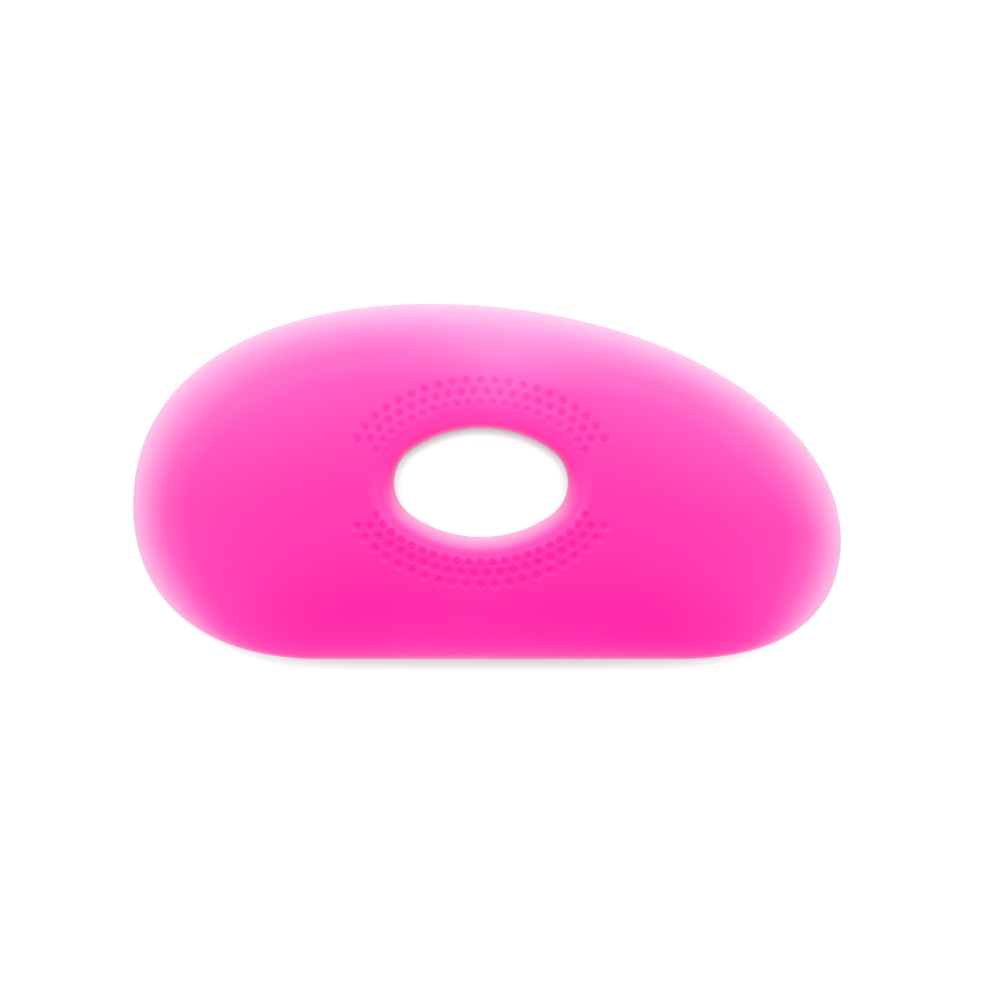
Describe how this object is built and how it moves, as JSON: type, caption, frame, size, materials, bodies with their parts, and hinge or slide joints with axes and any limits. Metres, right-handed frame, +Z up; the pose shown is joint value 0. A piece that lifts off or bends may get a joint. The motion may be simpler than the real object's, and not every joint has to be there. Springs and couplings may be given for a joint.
{
  "type": "pottery rib",
  "caption": "Soft flat rib for smoothing clay: one straight edge, one curved edge, two unequal round ends, and an oval finger hole through the thick middle.",
  "frame": {"origin": "middle of the outline's box, on the surface that the rib lies on", "axes": "+X along the length, towards the lower of the two round ends; +Y from the straight edge to the curved edge; +Z up, through the thickness"},
  "size_m": [0.0698, 0.035, 0.0076],
  "materials": {
    "soft_polyurethane": "satin"
  },
  "bodies": {
    "root": {"rib_body": "soft_polyurethane"}
  },
  "joints": []
}
